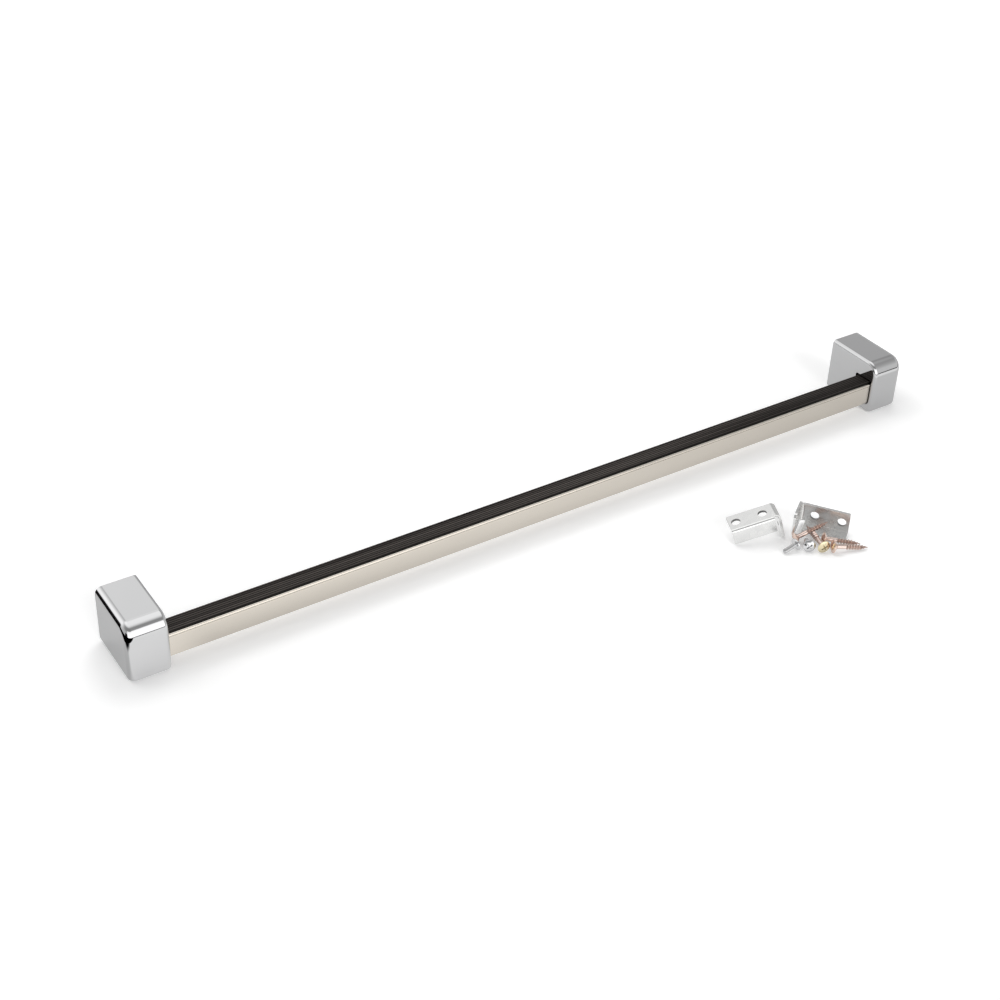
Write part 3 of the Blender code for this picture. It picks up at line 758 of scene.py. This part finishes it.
def strip_section():
    """Outline of the strip. Across each rib, u goes from -1 to 1 and the height is 1 - u squared."""
    head = RAIL_WIDTH / 2.0 - LIP_REACH + HEAD_LAP
    neck = RAIL_WIDTH / 2.0 - LIP_REACH - FIT_GAP
    foot = RAIL_WIDTH / 2.0 - RAIL_WALL - FIT_GAP
    under = RAIL_TOP + FIT_GAP
    foot_top = RAIL_TOP - LIP_THICKNESS - FIT_GAP
    base = mirrored([
        (RAIL_MIDDLE - head, under + STRIP_BODY, 0.0),
        (RAIL_MIDDLE - head, under, 0.00015),
        (RAIL_MIDDLE - neck, under, 0.0001),
        (RAIL_MIDDLE - neck, foot_top, 0.0001),
        (RAIL_MIDDLE - foot, foot_top, 0.0002),
        (RAIL_MIDDLE - foot, foot_top - STRIP_FOOT, 0.0002),
    ])
    across = np.linspace(1.0, -1.0, RIBS * RIB_STEPS + 1)[1:-1]
    u = 2.0 * np.mod((across + 1.0) / 2.0 * RIBS, 1.0) - 1.0
    height = under + STRIP_BODY + RIB_HEIGHT * (1.0 - u ** 2)
    ribs = np.column_stack((RAIL_MIDDLE + across * head, height))
    return [np.vstack((rounded(base, 6), ribs))]


strip = carried("strip", strip_section(), 0, RAIL_STOPS)
rib_top = RAIL_TOP + FIT_GAP + STRIP_BODY + RIB_HEIGHT
sunk = (rib_top - points_of(strip.data)[:, 2]) / RIB_HEIGHT
# Points below the grooves belong to the strip's sides and foot, which get only a little painted shade and
# roughness.
mark_points(strip, "groove_shade", np.where(sunk > 1.01, 0.2, sunk))
smooth(strip, 50)
strip.data.materials.append(rubber)
hand_over(strip, "grip_strip", "rack")

# %% [markdown]
# ## End blocks
#
# Each block is a die-cast shell: an outline with a wide front corner, carried along X and rounded off at
# both end faces, with a blind socket for the rail, a cavity open to the wall for the bracket, a vault over
# the socket and a hole for the clamp screw. A bevelled box would meet in a lump at the front corner, so the
# skin is a stack of outlines that shrink towards the end faces. Weighted normals keep the flats flat, which
# chrome shows at once.

# %% End blocks
HALF_LENGTH = 0.25
BLOCK = np.array((0.022, 0.038, 0.033))
WALL = 0.002
INNER_FACE = HALF_LENGTH - BLOCK[0]
SOCKET_HEADROOM = 0.001
SOCKET_TOP = rib_top + SOCKET_HEADROOM
SOCKET_GAP = 0.0005
SOCKET_DEPTH = 0.018
SOCKET_CORNERS = (0.0029, 0.0015)
CAVITY_CORNER = 0.0015
VAULT_WALL = 0.0026
VAULT_SIDE = 0.002
VAULT_CORNERS = (0.0008, 0.0054)
CLAMP_INSET = 0.0105
CLAMP_RADIUS = 0.0017
CUT_PAST = 0.002
TOP_CORNER = 0.008
FOOT = 0.003
OUTER_ROUND = np.array((0.004, 0.0038, 0.0029))
INNER_ROUND = np.array((0.0022, 0.0024, 0.0024))


def block_outline(inset):
    """Side outline in y and z, moved in from the top, front and foot. Its two front corners lose radius by as
    much as the top and the foot move."""
    top, front, foot = inset
    back = FRONT + BLOCK[1]
    return rounded([
        (FRONT + front, foot, FOOT - foot), (FRONT + front, BLOCK[2] - top, TOP_CORNER - top),
        (back, BLOCK[2] - top, 0.0), (back, foot, 0.0),
    ], 16)


def block_skin(name, side):
    """Stack of outlines along x. Towards each end face they move in by radius * (1 - cos turn) while x goes
    on by radius * sin turn, so one rounding runs from the top round the front corner to the foot."""
    turn = np.linspace(0.0, np.pi / 2.0, 17)
    inner_x = INNER_FACE + INNER_ROUND[0] * (1.0 - np.sin(turn))
    outer_x = HALF_LENGTH - OUTER_ROUND[0] * (1.0 - np.sin(turn))
    inner = np.stack([block_outline(INNER_ROUND * share) for share in 1.0 - np.cos(turn)])
    outer = np.stack([block_outline(OUTER_ROUND * share) for share in 1.0 - np.cos(turn)])
    stops = side * np.concatenate((inner_x[::-1], outer_x))
    outlines = np.concatenate((inner[::-1], outer))
    count = outlines.shape[1]
    across = np.broadcast_to(stops[:, None, None], (len(stops), count, 1))
    points = np.concatenate((across, outlines), axis=2).reshape(-1, 3)
    around = np.arange(count)
    caps = [around.tolist(), (around + count * (len(stops) - 1)).tolist()]
    return make_piece(name, points, ring_quads(len(stops), count, 0, count) + caps)


def block_hollows(name, side):
    """Solids to take away: bracket cavity, vault over the socket, rail socket and clamp screw hole."""
    near, far = sorted((side * (INNER_FACE + WALL), side * (HALF_LENGTH - WALL)))
    top = BLOCK[2] - WALL
    back = FRONT + BLOCK[1]
    half = RAIL_WIDTH / 2.0 + SOCKET_GAP
    cavity_front = RAIL_MIDDLE + half + WALL
    cavity = rounded([
        (near, WALL, CAVITY_CORNER), (far, WALL, CAVITY_CORNER),
        (far, top, CAVITY_CORNER), (near, top, CAVITY_CORNER),
    ])
    vault_floor = SOCKET_TOP + WALL
    vault_top = BLOCK[2] - VAULT_WALL
    low_corner, high_corner = VAULT_CORNERS
    vault = rounded([
        (FRONT + VAULT_WALL, vault_floor, low_corner), (FRONT + VAULT_WALL, vault_top, high_corner),
        (cavity_front + CUT_PAST, vault_top, 0.0), (cavity_front + CUT_PAST, vault_floor, 0.0),
    ])
    low_corner, high_corner = SOCKET_CORNERS
    socket_floor = RAIL_LIFT - SOCKET_GAP
    socket = rounded([
        (RAIL_MIDDLE - half, socket_floor, low_corner), (RAIL_MIDDLE - half, SOCKET_TOP, high_corner),
        (RAIL_MIDDLE + half, SOCKET_TOP, high_corner), (RAIL_MIDDLE + half, socket_floor, low_corner),
    ])
    clamp = circle(side * (HALF_LENGTH - BLOCK[0] / 2.0), back - CLAMP_INSET, CLAMP_RADIUS)
    socket_ends = sorted((side * (INNER_FACE - CUT_PAST), side * (INNER_FACE + SOCKET_DEPTH)))
    return [
        carried(name + "_cavity", [cavity], 1, (cavity_front, back + CUT_PAST)),
        carried(name + "_vault", [vault], 0, (near + VAULT_SIDE, far - VAULT_SIDE)),
        carried(name + "_socket", [socket], 0, socket_ends),
        carried(name + "_clamp", [clamp], 2, (-CUT_PAST, WALL + CUT_PAST)),
    ]


def slope_of(mesh):
    """How far each point's normal is from the nearest axis: 0 on the flats and 1 on an even corner."""
    flat = np.empty(len(mesh.vertices) * 3)
    mesh.vertices.foreach_get("normal", flat)
    return (1.0 - np.abs(flat.reshape(-1, 3)).max(axis=1)) / (1.0 - 3.0 ** -0.5)


def end_block(name, node, side, body):
    """Chromed rounded skin less its hollows, whose walls are raw casting."""
    block = block_skin(name, side)
    cut_with(block, block_hollows(name, side), (chrome, casting))
    mark_points(block, "wear_and_thread_shade", slope_of(block.data) * 2.0)
    smooth(block, 30)
    hand_over(block, node, body)


end_block("left_block", "left_end_block", -1, "left_end")
end_block("right_block", "right_end_block", 1, "right_end")

# %% [markdown]
# ## Wall brackets
#
# A bracket is one blank of zinc-plated sheet: a plate with two wall holes and two flanges folded to the
# same side, the end one with a hole for the clamp screw. Folding it as a sheet and giving that sheet its
# thickness with Solidify makes true bends, and a small bevel catches the light along the sheared edges.

# %% Bracket sheet
SHEET = 0.0015
BEND = 0.0018
END_BEND = 0.0032
BRACKET_LENGTH = 0.028
BRACKET_WIDTH = 0.0132
END_DEPTH = 0.018
SIDE_DEPTH = 0.0095
RELIEF = 0.0006
SHEET_CORNER = 0.0008
CORNER_STEPS = 8
EAR = 0.0027
EAR_CORNER = 0.0025
SHEARED_EDGE = 0.00012
HOLES_ALONG = (0.0042, 0.0192)
HOLE_SIDE = 0.0062
HOLE_RADIUS = 0.0025
TAPPED_HEIGHT = 0.0105
TAPPED_RADIUS = 0.0012


def fold(start, end, outward, bend, depth, radius, ear):
    """Flange from an edge of the plate: an arc in rows of two points, then a flat outline with round corners.
    Gives points and faces. The ear widens the flat on the side where the edge starts."""
    turn = np.linspace(0.0, np.pi / 2.0, 13)
    move = bend * (np.outer(np.sin(turn), outward) + np.outer(1.0 - np.cos(turn), Z_AXIS))
    rows = np.stack((start + move, end + move), axis=1)
    count = 2 * len(turn)
    first = 2 * np.arange(len(turn) - 1)
    faces = np.column_stack((first, first + 1, first + 3, first + 2)).tolist()
    across = end - start
    width = np.linalg.norm(across)
    run = depth - bend
    near = SHEET_CORNER if ear else 0.0
    corners = [(-ear, 0.0, near), (width, 0.0, 0.0), (width, run, radius), (-ear, run, radius)]
    flat = rounded(corners, CORNER_STEPS)
    if ear:
        # The bend's edge starts at (0, 0), so the outline has a point there, after the ear's first rounding.
        arc_end = CORNER_STEPS + 1
        flat = np.vstack((flat[:arc_end], (0.0, 0.0), flat[arc_end:]))
    outline = rows[-1, 0] + np.outer(flat[:, 0], across / width) + np.outer(flat[:, 1], Z_AXIS)
    faces.append((count + np.arange(len(outline))).tolist())
    return np.vstack((rows.reshape(-1, 3), outline)), faces


def bracket_sheet(name):
    """Plate in x and y with a side flange at +y and an end flange at +x, both folded to +z."""
    end_line = BRACKET_LENGTH - END_BEND
    side_line = BRACKET_WIDTH - BEND
    end_stop = side_line - RELIEF
    side_stop = end_line - RELIEF
    plate = rounded([
        (0.0, 0.0, SHEET_CORNER), (end_line, 0.0, 0.0), (end_line, end_stop, 0.0),
        (side_stop, end_stop, 0.0), (side_stop, side_line, 0.0), (0.0, side_line, 0.0),
    ], CORNER_STEPS)
    points = [np.column_stack((plate, np.zeros(len(plate))))]
    faces = [list(range(len(plate)))]
    folds = [
        ((end_line, 0.0), (end_line, end_stop), X_AXIS, END_BEND, END_DEPTH, EAR_CORNER, EAR),
        ((side_stop, side_line), (0.0, side_line), Y_AXIS, BEND, SIDE_DEPTH, SHEET_CORNER, 0.0),
    ]
    for start, end, *parts in folds:
        base = sum(len(block) for block in points)
        flange, flange_faces = fold(np.array((*start, 0.0)), np.array((*end, 0.0)), *parts)
        points.append(flange)
        faces += [[base + k for k in face] for face in flange_faces]
    sheet = make_piece(name, np.vstack(points), faces)
    if sheet.data.polygons[0].normal.z > 0.0:
        sheet.data.flip_normals()
    return sheet


def bracket(name, node, place):
    """Sheet with its thickness, holes and broken edges, put in its place by a 4 x 4 matrix."""
    piece = bracket_sheet(name)
    wall = piece.modifiers.new("sheet", "SOLIDIFY")
    wall.thickness = SHEET
    wall.offset = -1.0
    wall.use_even_offset = True
    settle(piece)
    through_plate = (-CUT_PAST, SHEET + CUT_PAST)
    through_flange = (BRACKET_LENGTH - SHEET - CUT_PAST, BRACKET_LENGTH + CUT_PAST)
    wall_holes = [circle(along, HOLE_SIDE, HOLE_RADIUS) for along in HOLES_ALONG]
    tapped = circle((BRACKET_WIDTH - BEND) / 2.0, TAPPED_HEIGHT, TAPPED_RADIUS)
    cutters = [carried("hole", [hole], 2, through_plate) for hole in wall_holes]
    cutters.append(carried("hole", [tapped], 0, through_flange))
    # Hole walls take the dark second finish, which paints shade into the holes.
    cut_with(piece, cutters, (zinc, punched_and_shaded))
    sheared = piece.modifiers.new("sheared_edge", "BEVEL")
    sheared.width = SHEARED_EDGE
    sheared.segments = 2
    sheared.limit_method = "ANGLE"
    sheared.angle_limit = math.radians(50)
    sheared.use_clamp_overlap = True
    settle(piece)
    mark_points(piece, "wear_and_thread_shade", slope_of(piece.data) * 1.5)
    smooth(piece, 35)
    settle(piece)
    piece.data.transform(place)
    low = points_of(piece.data).min(axis=0)
    off = np.abs(low - np.array(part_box(node)[0])).max()
    hand_over(piece, node, "rack")
    print(f"  its box starts {off * 1000:.3f} mm from where the solid's does")


def ground(heading):
    """Unit vector on the table at a heading from +X, in degrees."""
    turn = math.radians(heading)
    return np.array((math.cos(turn), math.sin(turn), 0.0))


def standing(along, across, spot):
    """Matrix that turns the sheet's x and y to two directions and moves its corner to a spot, whose y counts
    from the blocks' front face."""
    matrix = Matrix(np.column_stack((along, across, np.cross(along, across)))).to_4x4()
    matrix.translation = (spot[0], spot[1] + FRONT, spot[2])
    return matrix


UP = np.array(Z_AXIS)
TILTED_HEADING = -23.5
TILTED_SPOT = (0.0739, -0.0482, 0.00953)
UPRIGHT_HEADING = 125.3
UPRIGHT_SPOT = (0.1323, -0.0844, BRACKET_WIDTH)
rise = math.atan2(END_DEPTH - SIDE_DEPTH, BRACKET_LENGTH)
tilted = ground(TILTED_HEADING) * math.cos(rise) + UP * math.sin(rise)
bracket("bracket_1", "wall_bracket_1", standing(tilted, ground(TILTED_HEADING - 90.0), TILTED_SPOT))
bracket("bracket_2", "wall_bracket_2", standing(ground(UPRIGHT_HEADING), -UP, UPRIGHT_SPOT))

# %% [markdown]
# ## Screws
#
# A screw's thread is a helix, so its radius is a function of turn and length: a root, plus a ridge wherever
# the turn and the length in pitches agree. On a grid of those two, thread, shank, cone and head are a single
# surface. Only the cross recess is cut in afterwards, because its walls are steep.

# %% Screw surfaces
DOME_STEPS = 14
SHANK_END = 0.0072
CREST_FROM = 0.00112
CREST_RANGE = 0.0005
HEAD_END = 0.0016
HEAD_RANGE = 0.0004
RECESS_ABOVE = 0.0004
RECESS_SCALES = (1.12, 0.45)
WOOD_TOP = 0.0009
WOOD_LENGTH = 0.021
WOOD_SHANK = 0.00135
WOOD_ROOT = 0.00095
WOOD_CREST = 0.0017
WOOD_TIP = 0.0055
WOOD_RIM = 0.00355
WOOD_RIM_LOW = -0.00036
WOOD_CONE = 0.00184
MACHINE_TOP = 0.0021
MACHINE_LENGTH = 0.008
MACHINE_ROOT = 0.00122
MACHINE_RIDGE = 0.00028
MACHINE_BARE = 0.0076


def ridge(phase, width):
    """1 at whole phases, falling straight to 0 at half the width on each side."""
    apart = np.abs(np.mod(phase + 0.5, 1.0) - 0.5)
    return np.clip(1.0 - 2.0 * apart / width, 0.0, 1.0)


def ease(value, low, high):
    """0 below low, 1 above high, and a smooth step between."""
    t = np.clip((value - low) / (high - low), 0.0, 1.0)
    return t * t * (3.0 - 2.0 * t)


def cap_profile(radius, height, top, steps):
    """Radius and height along a shallow dome, from its middle out to its rim."""
    ball = (radius ** 2 + height ** 2) / (2.0 * height)
    turn = np.linspace(0.0, math.asin(radius / ball), steps)
    return ball * np.sin(turn), top - ball * (1.0 - np.cos(turn))


def wood_screw_rows():
    """Rows of the wood screw from dome to point: core radius, thread height and height along the axis."""
    dome_r, dome_z = cap_profile(0.0035, 0.00085, WOOD_TOP, DOME_STEPS)
    rim_r = np.array((0.0036, 0.00365, 0.00365, WOOD_RIM))
    rim_z = np.array((0.00001, -0.00008, -0.00022, WOOD_RIM_LOW))
    cone = np.linspace(0.0, 1.0, 9)[1:]
    cone_r = WOOD_RIM - (WOOD_RIM - WOOD_SHANK) * cone ** 0.8
    cone_z = WOOD_RIM_LOW - WOOD_CONE * cone
    body_z = np.arange(-0.0023, -WOOD_LENGTH, -0.0001)
    taper = np.clip((body_z + WOOD_LENGTH) / WOOD_TIP, 0.0, 1.0)
    root = WOOD_ROOT * taper
    threaded = ease(-body_z, 0.0068, 0.0082)
    body_r = WOOD_SHANK + (root - WOOD_SHANK) * threaded
    crest = (WOOD_CREST * taper - root) * threaded
    radius = np.concatenate((dome_r, rim_r, cone_r, body_r, (0.0,)))
    height = np.concatenate((dome_z, rim_z, cone_z, body_z, (-WOOD_LENGTH,)))
    thread = np.concatenate((np.zeros(len(radius) - len(body_r) - 1), crest, (0.0,)))
    return radius, thread, height


def machine_screw_rows():
    """Rows of the machine screw from its pan head to its chamfered end."""
    dome_r, dome_z = cap_profile(0.0034, 0.0012, MACHINE_TOP, DOME_STEPS)
    edge_r = np.array((0.00347, 0.00352, 0.00355, 0.00355, 0.00351, 0.0034, 0.0017, 0.00155))
    edge_z = np.array((0.00083, 0.00074, 0.00060, 0.00020, 0.00006, 0.0, 0.0, -0.00005))
    body_z = np.arange(-0.0001, -0.0075, -0.00005)
    crest = MACHINE_RIDGE * ease(-body_z, 0.0001, 0.0006) * ease(body_z, -MACHINE_BARE, -0.0072)
    end_r = np.array((MACHINE_ROOT, 0.00108, 0.001, 0.0))
    end_z = np.array((-MACHINE_BARE, -0.00785, -MACHINE_LENGTH, -MACHINE_LENGTH))
    radius = np.concatenate((dome_r, edge_r, np.full(len(body_z), MACHINE_ROOT), end_r))
    height = np.concatenate((dome_z, edge_z, body_z, end_z))
    thread = np.concatenate((np.zeros(len(dome_r) + len(edge_r)), crest, np.zeros(len(end_r))))
    return radius, thread, height


def screw_surface(name, rows, pitch, width, columns=48):
    """Grid of turn by length: x and y are the radius times (cos, sin), and z is the row's height."""
    radius, thread, height = rows
    turn = np.linspace(0.0, 2.0 * np.pi, columns, endpoint=False)
    phase = turn[None, :] / (2.0 * np.pi) + height[:, None] / pitch
    reach = radius[:, None] + thread[:, None] * ridge(phase, width)
    tall = np.broadcast_to(height[:, None], reach.shape)
    points = np.stack((reach * np.cos(turn), reach * np.sin(turn), tall), axis=-1).reshape(-1, 3)
    return make_piece(name, points, ring_quads(len(radius), columns, 0, columns))


def cross_recess(top, depth, reach, half):
    """Cross-shaped driver recess: a cross outline that shrinks towards its floor."""
    arm = np.array((
        (half, half), (reach, half), (reach, -half), (half, -half), (half, -reach), (-half, -reach),
        (-half, -half), (-reach, -half), (-reach, half), (-half, half), (-half, reach), (half, reach),
    ))
    heights = np.array((top + RECESS_ABOVE, top - depth))[:, None, None]
    scales = np.array(RECESS_SCALES)[:, None, None]
    count = len(arm)
    rings = np.concatenate((arm * scales, np.broadcast_to(heights, (2, count, 1))), axis=2).reshape(-1, 3)
    around = np.arange(count)
    caps = [around.tolist(), (around + count).tolist()]
    return make_piece("recess", rings, ring_quads(2, count, 0, count) + caps)


def face_values(mesh, key, size):
    """One property of every face as an array with a row for each face."""
    flat = np.empty(len(mesh.polygons) * size)
    mesh.polygons.foreach_get(key, flat)
    return flat.reshape(-1, size)


def screw_place(node, length):
    """Matrix from a screw's own frame to where its solid lies. Weighted by area, the face normals of a turned
    solid spread alike in every direction across its axis, so the axis is the direction whose spread is unlike
    the other two. It is turned towards the wide end, and the origin is a length from the point."""
    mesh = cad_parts[node].data
    points = points_of(mesh)
    area = face_values(mesh, "area", 1)
    normal = face_values(mesh, "normal", 3)
    spread, directions = np.linalg.eigh((normal * area).T @ normal)
    axis = directions[:, 0 if spread[1] - spread[0] > spread[2] - spread[1] else 2]
    middle = np.sum(face_values(mesh, "center", 3) * area, axis=0) / area.sum()
    run = (points - middle) @ axis
    wide = np.linalg.norm(points - middle - np.outer(run, axis), axis=1)
    if run[np.argmax(wide)] < 0.0:
        axis = -axis
        run = -run
    side = unit(np.cross(axis, UP))
    matrix = Matrix(np.column_stack((side, np.cross(axis, side), axis))).to_4x4()
    matrix.translation = middle + axis * (run.min() + length)
    return matrix


def screw(name, node, spin, finish, rows, pitch, width, length, recess, slot):
    """Surface less its recess, laid where its solid lies. The shank and the head count as crest all over, and
    the thread goes from root to crest, so that its finish paints shade into the root."""
    piece = screw_surface(name, rows, pitch, width)
    cut_with(piece, [cross_recess(**recess)], (finish, finish))
    points = points_of(piece.data)
    wide = np.linalg.norm(points[:, :2], axis=1)
    crest = np.where(points[:, 2] > -SHANK_END, 0.85, (wide - CREST_FROM) / CREST_RANGE)
    mark_points(piece, "wear_and_thread_shade", crest)
    mark_points(piece, "head", (points[:, 2] + HEAD_END) / HEAD_RANGE)
    smooth(piece, 38)
    settle(piece)
    piece.data.transform(screw_place(node, length) @ Matrix.Rotation(math.radians(spin), 4, "Z"))
    hand_over(piece, node, "rack")


print("screw tools ready")

# %% Wood screws and machine screws
WOOD_SCREW = {
    "rows": wood_screw_rows(), "pitch": 0.0016, "width": 0.7, "length": WOOD_LENGTH,
    "recess": {"top": WOOD_TOP, "depth": 0.0016, "reach": 0.0021, "half": 0.00036},
    "slot": "wood_screw_copper",
}
MACHINE_SCREW = {
    "rows": machine_screw_rows(), "pitch": 0.0005, "width": 0.9, "length": MACHINE_LENGTH,
    "recess": {"top": MACHINE_TOP, "depth": 0.0015, "reach": 0.0021, "half": 0.00040},
    "slot": "machine_screw_steel",
}
for number, spin, finish in ((1, 20, copper), (2, 65, copper), (3, 10, copper), (4, 30, brassy)):
    screw(f"long_screw_{number}", f"wood_screw_{number}", spin, finish, **WOOD_SCREW)
for number, spin in ((1, 15), (2, 40)):
    screw(f"short_screw_{number}", f"machine_screw_{number}", spin, steel, **MACHINE_SCREW)

# %% [markdown]
# ## Size
#
# The finished pieces may not outgrow the imported model, so the largest step of their box outside the
# imported one is printed.

# %% Boxes and finish
low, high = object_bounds()
step = max(max(cad_low - low), max(high - cad_high))
print(f"largest step outside the packed box: {step * 1000:.4f} mm")
